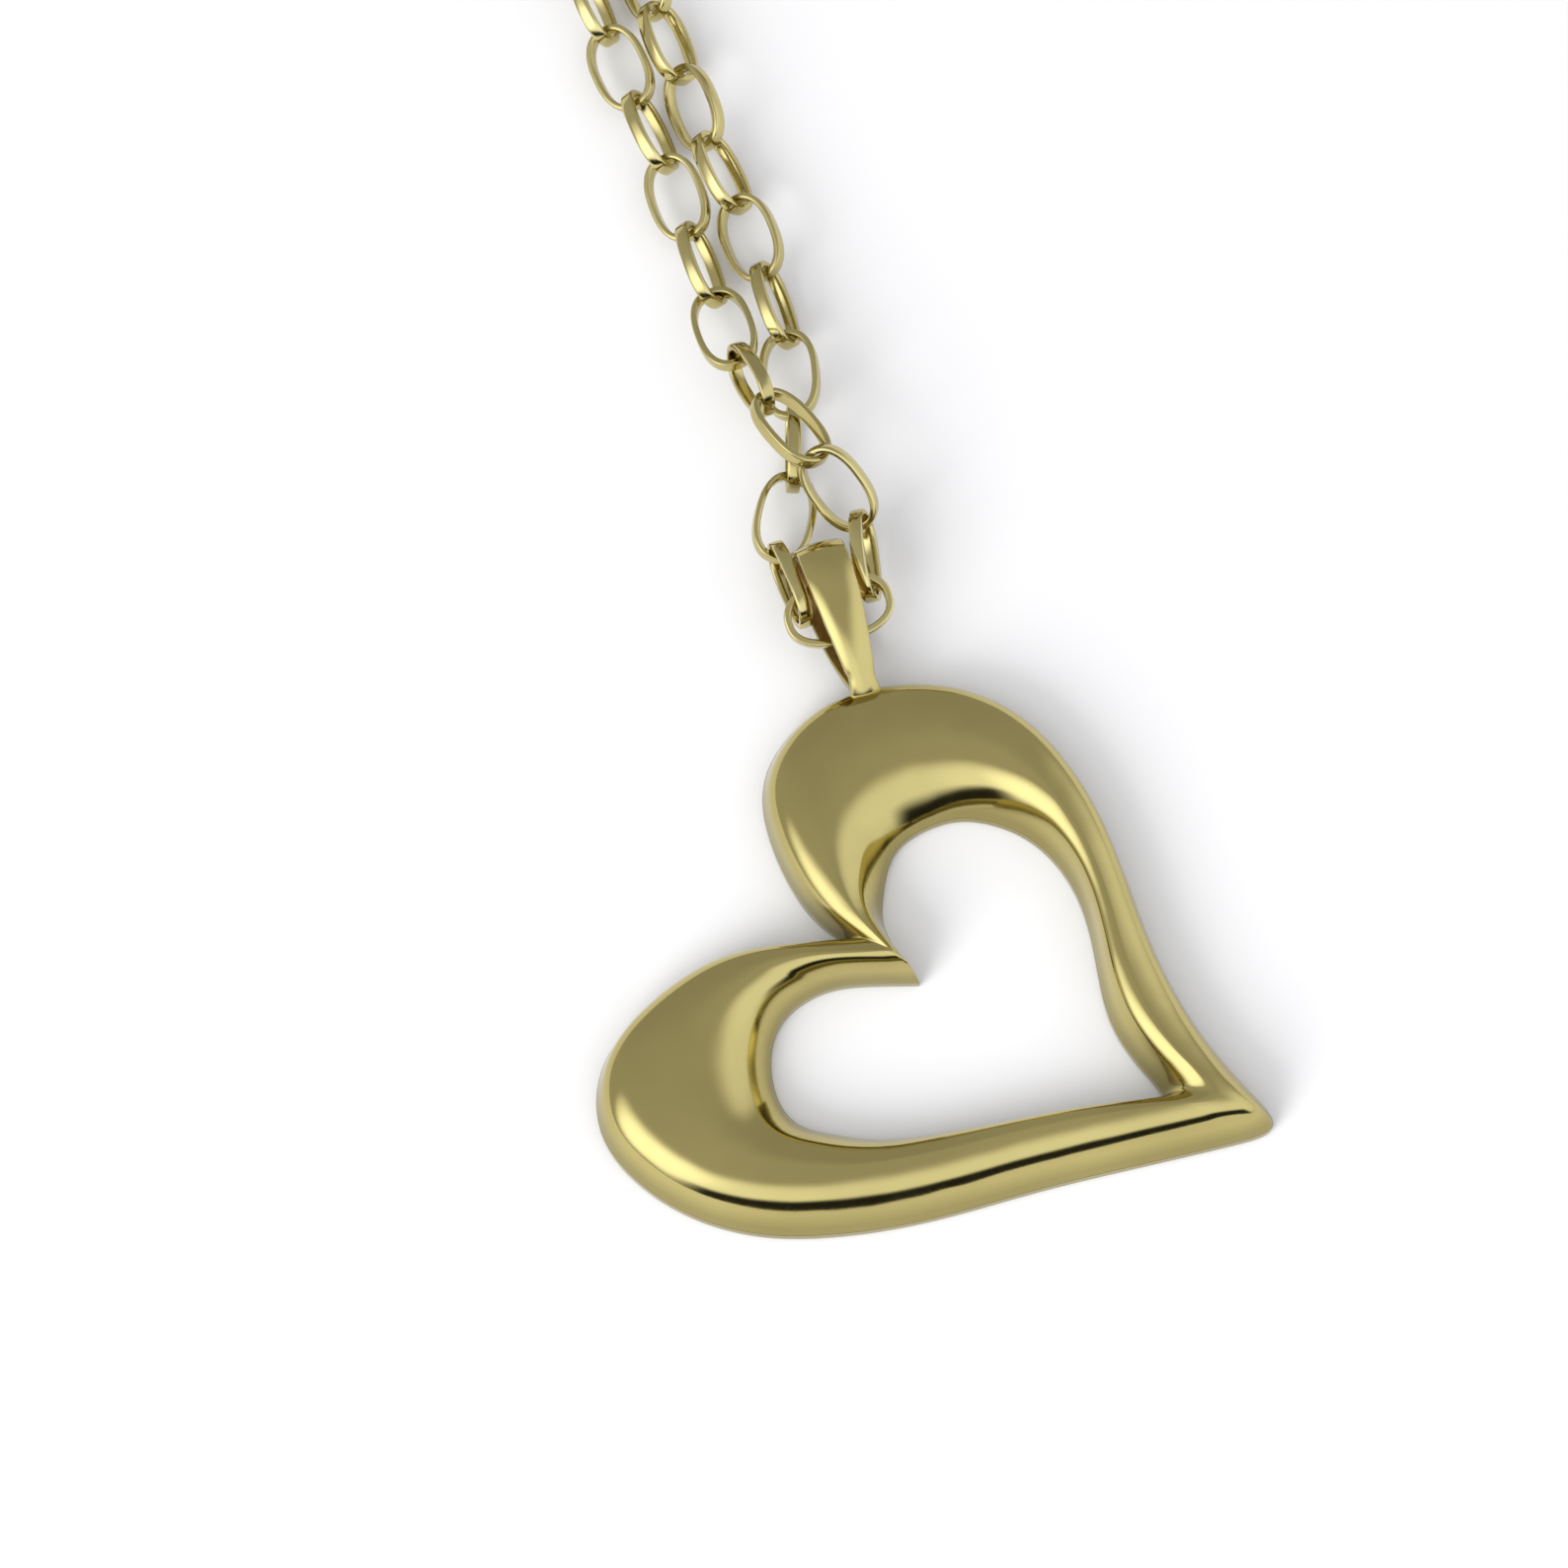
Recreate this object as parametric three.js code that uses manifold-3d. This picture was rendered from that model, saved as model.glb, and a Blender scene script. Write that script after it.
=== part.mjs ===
// Open-heart pendant on a belcher chain, lying on its back, in millimetres with +Z up.
// Origin: on the pendant's flat back, under the joint between the heart and its bail.
// +Y runs from the heart to the bail along the line that it hangs on, +X to the right,
// +Z out of the heart's front. The floor is at z = 0.
import * as THREE from 'three';
import { mergeVertices } from 'three/addons/utils/BufferGeometryUtils.js';
import Module from 'manifold-3d';

const wasm = await Module();
wasm.setup();

// ---------------------------------------------------------------- driving dimensions
const BACK_THICKNESS = 0.5; // flat back plate
const SEAM = 0.03; // between the back plate and the front shell
const SHELL = 0.45; // wall of the hollow front shell
const SHOULDER = 1.95; // height of the outer wall, where the broad face starts
const SHOULDER_INSET = 0.85; // how far the outer wall leans in by its top
const LIP = 0.9; // height of the wall around the opening
const LIP_INSET = 0.45; // how far that wall leans away from the opening
const CREST_IN = 2.0; // from the opening to the crest, where the band is wide enough
const VENT_RADIUS = 0.35; // holes in the back that let the hollow breathe

const BAIL = { length: 6.55, inner: 1.6, strap: 0.35, halfTop: 1.03, halfNeck: 0.58, x: -0.05 };
const BAIL_SQUARENESS = 0.75; // under 1 the fold is squarer than a half circle
const BAIL_FOOT_Y = 2.1; // where the bail meets the heart
const PIVOT = new THREE.Vector3(0.03, 5.75, 1.97); // centre of the link inside the bail

const LINK = { length: 4.12, width: 2.6, thickness: 0.27, strap: 0.58 };
const BAIL_LINK = { length: 4.75, width: 2.85, thickness: 0.3, strap: 0.6 };
const PITCH = 3.38; // from one link's centre to the next
const BAIL_LINK_ROLL = -12;
const OVAL = 0.82; // under 1 the links' ends are squarer than an ellipse's

const COIL = { x: 15.1, y: 57.0, outer: 17.9, inner: 9.5, height: 5.6, wall: 0.1 };
const CORD_SIDES = 8;
const CORD_DIAMETER = 2.0; // stand-in tube for a run of chain
const CORD_GAP = 0.3;

const CLASP = { thickness: 1.8, slot: 1.2, loopRadius: 1.35, loopHole: 0.75, height: 1.3 };
const PIN = { u: 2.9, v: 0.75, radius: 0.25, hole: 0.33, length: 1.74 };
const CLASP_Y = COIL.y - 3.9; // the clasp's tail loop
const FLOOR_GAP = 0.02;

const gold = { color: 0xb8a65a, roughness: 0.18, metalness: 1 };
const paleGold = { color: 0xc6b676, roughness: 0.3, metalness: 1 };
const steel = { color: 0x9a9a98, roughness: 0.35, metalness: 1 };

const necklace = new THREE.Group();
const up = new THREE.Vector3(0, 0, 1);
const degrees = THREE.MathUtils.degToRad;

function add(name, geometry, look, parent = necklace) {
  const mesh = new THREE.Mesh(geometry, new THREE.MeshStandardMaterial(look));
  mesh.name = name;
  parent.add(mesh);
  return mesh;
}

// ---------------------------------------------------------------- mesh helpers
function signedVolume(points, faces) {
  const cross = new THREE.Vector3();
  return faces.reduce((sum, [a, b, c]) => {
    cross.crossVectors(points[b], points[c]);
    return sum + points[a].dot(cross) / 6;
  }, 0);
}

// A closed surface through rows of points: it joins up along each row and from the last
// row to the first, as a ring with a closed section does.
function ringSurface(rows) {
  const count = rows.length;
  const across = rows[0].length;
  const points = rows.flat();
  const faces = [];
  for (let i = 0; i < count; i += 1) {
    for (let j = 0; j < across; j += 1) {
      const a = i * across + j;
      const b = i * across + ((j + 1) % across);
      const c = ((i + 1) % count) * across + j;
      const d = ((i + 1) % count) * across + ((j + 1) % across);
      faces.push([a, c, b], [b, c, d]);
    }
  }
  const outward = signedVolume(points, faces) > 0;
  const index = faces.flatMap(([a, b, c]) => (outward ? [a, b, c] : [a, c, b]));
  const geometry = new THREE.BufferGeometry().setFromPoints(points);
  geometry.setIndex(index);
  geometry.computeVertexNormals();
  return geometry;
}

function toSolid(geometry) {
  const bare = geometry.clone();
  bare.deleteAttribute('normal');
  bare.deleteAttribute('uv');
  const merged = mergeVertices(bare, 1e-5);
  const mesh = new wasm.Mesh({
    numProp: 3,
    vertProperties: merged.attributes.position.array,
    triVerts: Uint32Array.from(merged.index.array),
  });
  return new wasm.Manifold(mesh);
}

function fromSolid(solid) {
  const mesh = solid.getMesh();
  const geometry = new THREE.BufferGeometry();
  geometry.setAttribute('position', new THREE.BufferAttribute(mesh.vertProperties, 3));
  geometry.setIndex(new THREE.BufferAttribute(mesh.triVerts, 1));
  return geometry;
}

function plate(shape, thickness, lowest, segments = 8) {
  const settings = { depth: thickness, bevelEnabled: false, curveSegments: segments };
  return new THREE.ExtrudeGeometry(shape, settings).translate(0, 0, lowest);
}

function tube(points, radius, sides, steps) {
  const section = new THREE.Shape();
  for (let i = 0; i < sides; i += 1) {
    const angle = (2 * Math.PI * i) / sides;
    const at = [radius * Math.cos(angle), radius * Math.sin(angle)];
    if (i === 0) section.moveTo(...at);
    else section.lineTo(...at);
  }
  const path = new THREE.CatmullRomCurve3(points);
  return new THREE.ExtrudeGeometry(section, { steps, extrudePath: path });
}

function wireRing(radius, wire) {
  const section = [];
  for (let i = 0; i <= 6; i += 1) {
    const angle = (2 * Math.PI * i) / 6;
    section.push(new THREE.Vector2(radius + wire * Math.cos(angle), wire * Math.sin(angle)));
  }
  section[6].copy(section[0]);
  return new THREE.LatheGeometry(section, 18);
}

// ---------------------------------------------------------------- heart
// Each station pairs a point on the outer outline with one on the opening's outline.
// Both arms start at the notch, where the opening has its cusp, and end at the tip.
const NOTCH = [-4.1, -8.2, -1.8, -10.8];
const TIP = [10.4, -21.5, 6.5, -18.9];
const UPPER_ARM = [
  NOTCH,
  [-5.3, -6.2, -2.4, -8.5],
  [-5.8, -2.6, -2.1, -6.8],
  [-4.9, 0.3, -1.2, -5.2],
  [-2.4, 2.05, -0.2, -4.5],
  [0.7, 2.3, 1.0, -4.25],
  [3.9, 1.2, 2.4, -4.4],
  [6.1, -0.9, 3.8, -5.2],
  [7.5, -4.2, 5.1, -6.8],
  [7.95, -7.9, 5.75, -9.3],
  [8.0, -12.0, 5.5, -12.4],
  [8.5, -15.8, 5.3, -15.2],
  [9.5, -18.9, 5.9, -17.4],
  TIP,
];
const LOWER_ARM = [
  NOTCH,
  [-6.7, -7.7, -3.1, -10.4],
  [-9.8, -7.4, -4.6, -10.0],
  [-13.3, -8.5, -6.1, -9.95],
  [-15.7, -10.4, -7.6, -10.5],
  [-16.5, -12.8, -8.6, -11.7],
  [-15.9, -15.1, -9.05, -13.4],
  [-14.3, -17.3, -8.7, -15.0],
  [-12.0, -19.0, -7.5, -15.95],
  [-9.0, -20.1, -5.7, -16.8],
  [-5.0, -20.75, -3.1, -17.35],
  [0.0, -20.95, 0.4, -17.85],
  [5.2, -21.3, 3.6, -18.3],
  TIP,
];

function bandPoints(arm, steps) {
  const outer = new THREE.CatmullRomCurve3(arm.map(([x, y]) => new THREE.Vector3(x, y, 0)));
  const inner = new THREE.CatmullRomCurve3(arm.map(([, , x, y]) => new THREE.Vector3(x, y, 0)));
  const band = [];
  for (let i = 0; i <= steps; i += 1) {
    band.push({ outer: outer.getPoint(i / steps), inner: inner.getPoint(i / steps) });
  }
  return band;
}

function heartBand(steps) {
  const upper = bandPoints(UPPER_ARM, steps);
  const lower = bandPoints(LOWER_ARM, steps).reverse();
  return [...upper, ...lower.slice(1, -1)];
}

function crestHeight(width) {
  return SHOULDER + 0.4 + 0.07 * width;
}

// Height of the front over a band of the given width, at a distance from its outer edge.
function faceHeight(distance, width) {
  const from = SHOULDER_INSET;
  const to = width - LIP_INSET;
  const crest = width - Math.min(CREST_IN, 0.45 * width);
  const top = crestHeight(width);
  if (distance < crest) {
    const rise = Math.sin((0.5 * Math.PI * (distance - from)) / (crest - from));
    return SHOULDER + (top - SHOULDER) * rise;
  }
  const fall = Math.cos((0.5 * Math.PI * (distance - crest)) / (to - crest));
  return LIP + (top - LIP) * Math.max(fall, 0) ** 0.7;
}

function bandPoint(station, distance, z) {
  const along = station.inner.clone().sub(station.outer).normalize();
  return station.outer.clone().addScaledVector(along, distance).setZ(z);
}

function heartSection(station) {
  const width = station.outer.distanceTo(station.inner);
  const base = BACK_THICKNESS + SEAM;
  const foot = (SHOULDER_INSET * base) / SHOULDER;
  const lipFoot = (LIP_INSET * base) / LIP;
  const face = [0, 0.2, 0.42, 0.62, 0.8, 0.93, 1].map((share) => {
    const distance = SHOULDER_INSET + (width - SHOULDER_INSET - LIP_INSET) * share;
    return [distance, faceHeight(distance, width)];
  });
  const outside = [[foot, base], ...face, [width - lipFoot, base]];
  const hollow = [0.85, 0.5, 0.15].map((share) => {
    const distance = SHOULDER_INSET + (width - SHOULDER_INSET - LIP_INSET) * share;
    return [distance, faceHeight(distance, width) - SHELL];
  });
  const inside = [[width - lipFoot - SHELL, base], ...hollow, [foot + SHELL, base]];
  return [...outside, ...inside].map(([distance, z]) => bandPoint(station, distance, z));
}

function heartOutline(stations, key) {
  return stations.map((station) => new THREE.Vector2(station[key].x, station[key].y));
}

function heartBack(stations) {
  const shape = new THREE.Shape(heartOutline(stations, 'outer'));
  shape.holes.push(new THREE.Path(heartOutline(stations, 'inner').reverse()));
  for (const [x, y] of [[2.6, -1.6], [-12.6, -13.2]]) {
    shape.holes.push(new THREE.Path().absarc(x, y, VENT_RADIUS, 0, 2 * Math.PI));
  }
  return plate(shape, BACK_THICKNESS, 0, 3);
}

const heartStations = heartBand(34);
add('heart_back_plate', heartBack(heartStations), gold);
add('heart_front_shell', ringSurface(heartStations.map(heartSection)), gold);

// ---------------------------------------------------------------- bail
// A tapered strap folded into a loop: side view in Y and Z, with its width along X.
function bailSide(offset) {
  const radius = BAIL.inner + offset;
  const bendY = BAIL_FOOT_Y + BAIL.length - BAIL.inner - BAIL.strap;
  const tailY = BAIL_FOOT_Y + 0.95 - 1.8 * offset;
  const squared = (value) => Math.sign(value) * Math.abs(value) ** BAIL_SQUARENESS;
  const side = [];
  for (let i = 0; i <= 8; i += 1) {
    const angle = Math.PI * (0.5 - i / 8);
    const reach = Math.max(Math.cos(angle), 0);
    side.push([bendY + radius * squared(reach), radius * squared(Math.sin(angle))]);
  }
  const tailHalf = offset + 0.4;
  const leaf = [0.35, 0.62, 0.85, 1].map((share) => {
    const half = tailHalf + (radius - tailHalf) * Math.cos(0.5 * Math.PI * share) ** 0.85;
    return [bendY + (tailY - bendY) * share, half];
  });
  const rear = leaf.map(([y, half]) => [y, -half]);
  const front = [...leaf].reverse();
  return [...side, ...rear, ...front];
}

function bailPoint([y, z], side) {
  const top = BAIL_FOOT_Y + BAIL.length;
  const share = THREE.MathUtils.clamp((y - BAIL_FOOT_Y) / (top - 1 - BAIL_FOOT_Y), 0, 1);
  const half = THREE.MathUtils.lerp(BAIL.halfNeck, BAIL.halfTop, Math.sin(0.5 * Math.PI * share));
  return new THREE.Vector3(BAIL.x + side * half, y, PIVOT.z + z);
}

function bailLoop() {
  const inside = bailSide(0);
  const outside = bailSide(BAIL.strap);
  const rows = outside.map((point, i) => [
    bailPoint(point, -1),
    bailPoint(point, 1),
    bailPoint(inside[i], 1),
    bailPoint(inside[i], -1),
  ]);
  return ringSurface(rows);
}

add('bail', bailLoop(), gold);

// ---------------------------------------------------------------- chain in view
// One link is flat strap bent to an oval: its long way is local X, the strap's width local Z.
function linkShape({ length, width, thickness, strap }, steps = 20) {
  const rows = [];
  for (let i = 0; i < steps; i += 1) {
    const angle = (2 * Math.PI * i) / steps;
    const bend = (value) => Math.sign(value) * Math.abs(value) ** OVAL;
    const at = (inset) => [
      (length / 2 - inset) * bend(Math.cos(angle)),
      (width / 2 - inset) * bend(Math.sin(angle)),
    ];
    const [outX, outY] = at(0);
    const [inX, inY] = at(thickness);
    rows.push([
      new THREE.Vector3(outX, outY, -strap / 2),
      new THREE.Vector3(outX, outY, strap / 2),
      new THREE.Vector3(inX, inY, strap / 2),
      new THREE.Vector3(inX, inY, -strap / 2),
    ]);
  }
  return ringSurface(rows);
}

// Lays a link along a direction, its face leaning to that direction's left by the roll.
function layLink(mesh, centre, along, roll) {
  const normal = up.clone().addScaledVector(along, -up.dot(along)).normalize();
  normal.applyAxisAngle(along, -degrees(roll));
  const across = new THREE.Vector3().crossVectors(normal, along);
  mesh.matrixAutoUpdate = false;
  mesh.matrix.makeBasis(along, across, normal).setPosition(centre);
}

// Joint points at even spacing along a route through the given points.
function walk(route, pitch, count) {
  const curve = new THREE.CatmullRomCurve3(route.map((point) => new THREE.Vector3(...point)));
  const samples = curve.getPoints(1500);
  const joints = [samples[0]];
  for (const point of samples) {
    if (joints.length <= count && point.distanceTo(joints.at(-1)) >= pitch) joints.push(point);
  }
  return joints;
}

function layStrand(side, route, rolls) {
  const joints = walk(route, PITCH, rolls.length);
  rolls.forEach((roll, i) => {
    const along = joints[i + 1].clone().sub(joints[i]).normalize();
    const centre = joints[i].clone().add(joints[i + 1]).multiplyScalar(0.5);
    const number = String(i + 1).padStart(2, '0');
    layLink(add(`${side}_link_${number}`, linkShape(LINK), paleGold), centre, along, roll);
  });
  return joints.at(-1);
}

// The strand on the right of the bail crosses over the other one and lies on the left.
const LEFT_ROUTE = [
  [1.52, 6.1, 2.1],
  [2.25, 9.4, 2.05],
  [1.05, 12.2, 3.7],
  [-0.15, 15.4, 3.7],
  [-0.6, 18.8, 1.8],
  [-0.5, 22.3, 1.45],
  [-0.6, 29.1, 1.45],
  [-1.1, 34.5, 1.45],
  [-1.4, 41.0, 1.45],
];
const RIGHT_ROUTE = [
  [-1.45, 5.95, 2.0],
  [-1.65, 9.2, 1.42],
  [0.0, 12.0, 1.42],
  [1.1, 15.3, 1.42],
  [1.9, 18.7, 1.42],
  [1.85, 25.5, 1.42],
  [1.45, 30.6, 1.42],
  [1.35, 36.0, 1.42],
  [1.2, 41.0, 1.42],
];
const LEFT_ROLLS = [-72, 38, -26, -102, 5, -60, 24, -58, 24, -60];
const RIGHT_ROLLS = [86, -13, -93, 14, -61, 28, -50, 46, -44, 50];

const bailLink = add('bail_link', linkShape(BAIL_LINK), paleGold);
layLink(bailLink, PIVOT, new THREE.Vector3(1, 0, 0), BAIL_LINK_ROLL);
const leftEnd = layStrand('left', LEFT_ROUTE, LEFT_ROLLS);
const rightEnd = layStrand('right', RIGHT_ROUTE, RIGHT_ROLLS);

// ---------------------------------------------------------------- stored chain
// Past the last separate link each side runs into one round coil.
function leadTube(name, start, rise) {
  const from = start.y + LINK.thickness + CORD_GAP;
  const to = COIL.y - 12.6;
  const points = [0, 0.34, 0.67, 1].map((share) => {
    const y = THREE.MathUtils.lerp(from, to, share);
    return new THREE.Vector3(start.x, y, start.z + rise * share * share);
  });
  add(name, tube(points, CORD_DIAMETER / 2, CORD_SIDES, 4), paleGold);
}

// The coil's outer shape as a thin ring, slit inside, so that it weighs what chain does.
function coilRing() {
  const { outer, inner, height, wall } = COIL;
  const slit = 0.2;
  const profile = [
    [inner, height / 2 - slit],
    [inner, FLOOR_GAP],
    [outer, FLOOR_GAP],
    [outer, height],
    [inner, height],
    [inner, height / 2 + slit],
    [inner + wall, height / 2 + slit],
    [inner + wall, height - wall],
    [outer - wall, height - wall],
    [outer - wall, FLOOR_GAP + wall],
    [inner + wall, FLOOR_GAP + wall],
    [inner + wall, height / 2 - slit],
    [inner, height / 2 - slit],
  ];
  const ring = new THREE.LatheGeometry(profile.map((at) => new THREE.Vector2(...at)), 32);
  return ring.rotateX(Math.PI / 2).translate(COIL.x, COIL.y, 0);
}

leadTube('left_chain_run', leftEnd, 0);
leadTube('right_chain_run', rightEnd, 0.9);
add('chain_coil', coilRing(), paleGold);

// ---------------------------------------------------------------- clasp
// A lobster clasp lying flat inside the coil. Drawn with its tail loop at the origin and
// its nose along +X, then turned so that the nose points along +Y.
const clasp = new THREE.Group();
clasp.position.set(COIL.x, CLASP_Y, CLASP.height);
clasp.rotation.z = Math.PI / 2;
necklace.add(clasp);

function clawOutline() {
  const shape = new THREE.Shape();
  shape.absarc(0, 0, CLASP.loopRadius, degrees(40), degrees(320));
  shape.bezierCurveTo(1.6, -0.8, 2.2, -1.9, 4.4, -2.1);
  shape.bezierCurveTo(6.6, -2.2, 8.5, -1.4, 8.5, 0.1);
  shape.bezierCurveTo(8.5, 1.4, 7.4, 2.1, 6.2, 2.1);
  shape.bezierCurveTo(4.2, 2.1, 2.4, 2.0, 1.03, 0.87);
  return shape;
}

function throatOutline() {
  const throat = new THREE.Shape();
  throat.moveTo(4.2, 0.95);
  throat.bezierCurveTo(3.7, -0.4, 4.2, -1.2, 5.2, -1.2);
  throat.bezierCurveTo(6.4, -1.2, 7.7, -1.0, 7.7, 0.1);
  throat.bezierCurveTo(7.7, 0.9, 6.9, 1.1, 6.1, 1.15);
  throat.lineTo(6.1, 3);
  throat.lineTo(4.2, 3);
  return throat;
}

function boxSolid(low, high) {
  const size = low.map((value, i) => high[i] - value);
  const middle = low.map((value, i) => (high[i] + value) / 2);
  return toSolid(new THREE.BoxGeometry(...size).translate(...middle));
}

// The claw is thin at its tail loop, thick over the lever and thinner again at its nose.
function clawSideView() {
  const half = [[-2, 0.33], [1.2, 0.33], [1.9, 0.9], [4.6, 0.9], [6.4, 0.45], [9, 0.45]];
  const low = half.map(([u, w]) => [u, -w]).reverse();
  const shape = new THREE.Shape([...half, ...low].map((at) => new THREE.Vector2(...at)));
  const cut = plate(shape, 6, -3).rotateX(Math.PI / 2);
  return toSolid(cut);
}

function clawBody() {
  const { thickness, slot, loopHole } = CLASP;
  const loop = new THREE.Shape().absarc(0, 0, loopHole, 0, 2 * Math.PI);
  const pinHole = new THREE.Shape().absarc(PIN.u, PIN.v, PIN.hole, 0, 2 * Math.PI);
  const through = (shape) => toSolid(plate(shape, thickness + 1, -thickness / 2 - 0.5));
  let body = toSolid(plate(clawOutline(), thickness, -thickness / 2));
  body = body.intersect(clawSideView());
  for (const cut of [loop, throatOutline(), pinHole]) body = body.subtract(through(cut));
  return body.subtract(boxSolid([1.95, -0.1, -slot / 2], [4.5, 3, slot / 2]));
}

// The lever turns on the pin, from a thumb piece outside the claw to the claw's tip.
function leverBody() {
  const shape = new THREE.Shape();
  shape.moveTo(2.25, 0.7);
  shape.bezierCurveTo(2.3, 0.1, 3.3, -0.1, 3.8, 0.45);
  shape.bezierCurveTo(4.4, 0.9, 5.2, 0.95, 5.9, 1.1);
  shape.lineTo(5.95, 1.85);
  shape.bezierCurveTo(5.0, 2.0, 4.1, 2.05, 3.2, 2.2);
  shape.bezierCurveTo(3.0, 2.75, 2.5, 3.0, 2.2, 2.75);
  shape.holes.push(new THREE.Path().absarc(PIN.u, PIN.v, PIN.hole, 0, 2 * Math.PI));
  return plate(shape, 0.62, -0.54);
}

function springWire() {
  const points = [];
  for (let i = 0; i <= 10; i += 1) {
    const angle = degrees(200) + (2.6 * Math.PI * i) / 10;
    const z = 0.19 + 0.024 * i;
    points.push(new THREE.Vector3(PIN.u + 0.45 * Math.cos(angle), PIN.v + 0.45 * Math.sin(angle), z));
  }
  return tube(points, 0.07, 5, 24);
}

function pinBody() {
  const pin = new THREE.CylinderGeometry(PIN.radius, PIN.radius, PIN.length, 12);
  return pin.rotateX(Math.PI / 2).translate(PIN.u, PIN.v, 0);
}

add('clasp_body', fromSolid(clawBody()), gold, clasp);
add('clasp_lever', leverBody(), gold, clasp);
add('clasp_lever_pin', pinBody(), steel, clasp);
add('clasp_spring', springWire(), steel, clasp);

// Rings stand on edge through the tail loop and the throat, in the plane X = coil centre.
function standingRing(name, radius, wire, y) {
  const ring = wireRing(radius, wire).rotateZ(Math.PI / 2);
  add(name, ring, paleGold).position.set(COIL.x, y, FLOOR_GAP + radius + wire);
}

standingRing('clasp_jump_ring', 1.35, 0.25, CLASP_Y - 1.05);
standingRing('chain_end_ring', 1.5, 0.3, CLASP_Y + 8.15);

export default necklace;
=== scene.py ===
"""A puffed open-heart pendant on a belcher chain, lying on its back on a white table.

Lengths in the tables below are in millimetres, as a jeweller gives them, and MM turns them
into the frame's metres. +Y runs from the heart to its bail and +Z out of the heart's front.
"""
import math

import bpy
import numpy as np
from mathutils import Matrix, Vector


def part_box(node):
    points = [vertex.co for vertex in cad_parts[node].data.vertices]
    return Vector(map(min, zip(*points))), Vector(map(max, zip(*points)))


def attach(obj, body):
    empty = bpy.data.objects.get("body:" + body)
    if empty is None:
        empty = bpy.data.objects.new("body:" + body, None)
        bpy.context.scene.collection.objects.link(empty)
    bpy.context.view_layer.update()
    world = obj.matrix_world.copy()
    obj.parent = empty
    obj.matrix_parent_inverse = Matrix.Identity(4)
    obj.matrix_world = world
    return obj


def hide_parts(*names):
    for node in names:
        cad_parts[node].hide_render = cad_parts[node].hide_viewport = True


MM = 0.001
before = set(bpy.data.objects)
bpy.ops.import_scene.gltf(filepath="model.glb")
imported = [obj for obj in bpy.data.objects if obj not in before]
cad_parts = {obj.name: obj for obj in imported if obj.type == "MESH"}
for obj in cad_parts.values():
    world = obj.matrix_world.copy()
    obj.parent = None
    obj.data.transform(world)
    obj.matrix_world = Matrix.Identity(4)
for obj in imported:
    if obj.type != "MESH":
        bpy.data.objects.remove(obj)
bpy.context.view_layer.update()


# ------------------------------------------------------------------ camera
TARGET = Vector((-4.4, -0.35, 0.0)) * MM  # the point of the table that the camera looks at
DISTANCE = 0.3  # metres, as the next is
NEAR_CLIP = 0.01
ELEVATION = math.radians(69)
TURN = math.radians(18)  # how far +Y leans to the left of straight up in the picture
LENS = 162

# The table's directions that run to the right and up in the picture.
across = Vector((math.cos(TURN), -math.sin(TURN), 0))
away = Vector((math.sin(TURN), math.cos(TURN), 0))


def add_camera():
    data = bpy.data.cameras.new("camera")
    data.lens = LENS
    data.clip_start = NEAR_CLIP
    camera = bpy.data.objects.new("camera", data)
    bpy.context.scene.collection.objects.link(camera)
    forward = away * math.cos(ELEVATION) - Vector((0, 0, math.sin(ELEVATION)))
    camera.location = TARGET - forward * DISTANCE
    up = across.cross(forward)
    camera.matrix_world = Matrix.Translation(camera.location) @ Matrix(
        (across, up, -forward)
    ).transposed().to_4x4()
    bpy.context.scene.camera = camera


add_camera()


# ------------------------------------------------------------------ mesh helpers
def mesh_object(name, points, faces, smooth=True):
    """A mesh object from points in millimetres."""
    mesh = bpy.data.meshes.new(name)
    mesh.from_pydata([tuple(MM * c for c in p) for p in points], [], faces)
    mesh.polygons.foreach_set("use_smooth", [smooth] * len(mesh.polygons))
    mesh.update()
    piece = bpy.data.objects.new(name, mesh)
    bpy.context.scene.collection.objects.link(piece)
    return piece


def grid_faces(rows, columns, first=0, joined=True):
    """Quads over a grid of points that closes on itself across, and along too if joined."""
    faces = []
    for i in range(rows if joined else rows - 1):
        for j in range(columns):
            a = first + i * columns + j
            b = first + i * columns + (j + 1) % columns
            c = first + (i + 1) % rows * columns + (j + 1) % columns
            d = first + (i + 1) % rows * columns + j
            faces.append((a, b, c, d))
    return faces


def face_outward(piece):
    """Turns a closed mesh's faces so that they point out."""
    mesh = piece.data
    volume = 0.0
    for polygon in mesh.polygons:
        corners = [mesh.vertices[i].co for i in polygon.vertices]
        for b, c in zip(corners[1:], corners[2:]):
            volume += corners[0].dot(b.cross(c))
    if volume < 0:
        mesh.flip_normals()
    return piece


def ring_piece(name, rows):
    """A closed ring through rows of points, such as a link or the heart's shell."""
    points = [p for row in rows for p in row]
    return face_outward(mesh_object(name, points, grid_faces(len(rows), len(rows[0]))))


def add_modifier(piece, kind, **settings):
    modifier = piece.modifiers.new(kind.lower(), kind)
    for key, value in settings.items():
        setattr(modifier, key, value)
    return modifier


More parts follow.
